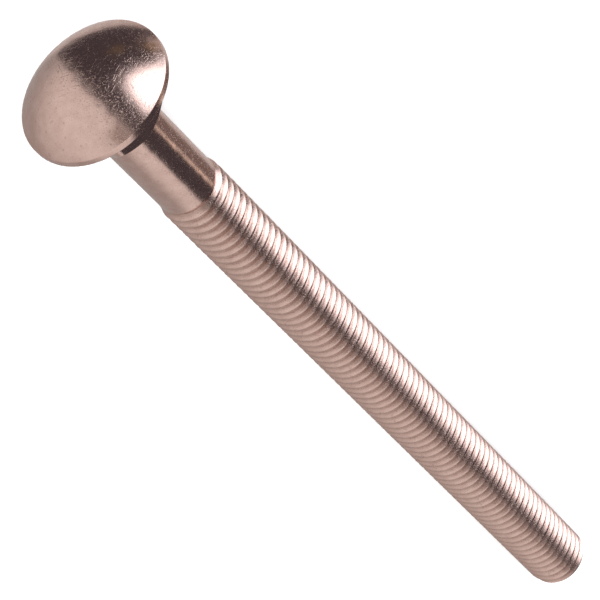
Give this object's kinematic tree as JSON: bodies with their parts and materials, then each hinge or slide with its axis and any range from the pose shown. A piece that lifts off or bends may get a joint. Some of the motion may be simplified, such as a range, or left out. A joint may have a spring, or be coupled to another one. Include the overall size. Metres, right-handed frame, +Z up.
{
  "type": "carriage bolt",
  "caption": "Domed-head carriage bolt with a square neck, a short reduced body and a long coarse thread down to a blunt point, lying on its side.",
  "frame": {"origin": "middle of the bolt's box, on the surface it lies on", "axes": "+X runs the length of the bolt from the head to the point, +Z up; the bolt's own axis leans 2.24 degrees down towards +X"},
  "size_m": [0.1448, 0.0202, 0.0202],
  "materials": {
    "plated_steel": "bright plated steel with a warm tint, fine scratches and rolled thread"
  },
  "bodies": {
    "root": {"carriage_bolt": "plated_steel"}
  },
  "joints": []
}
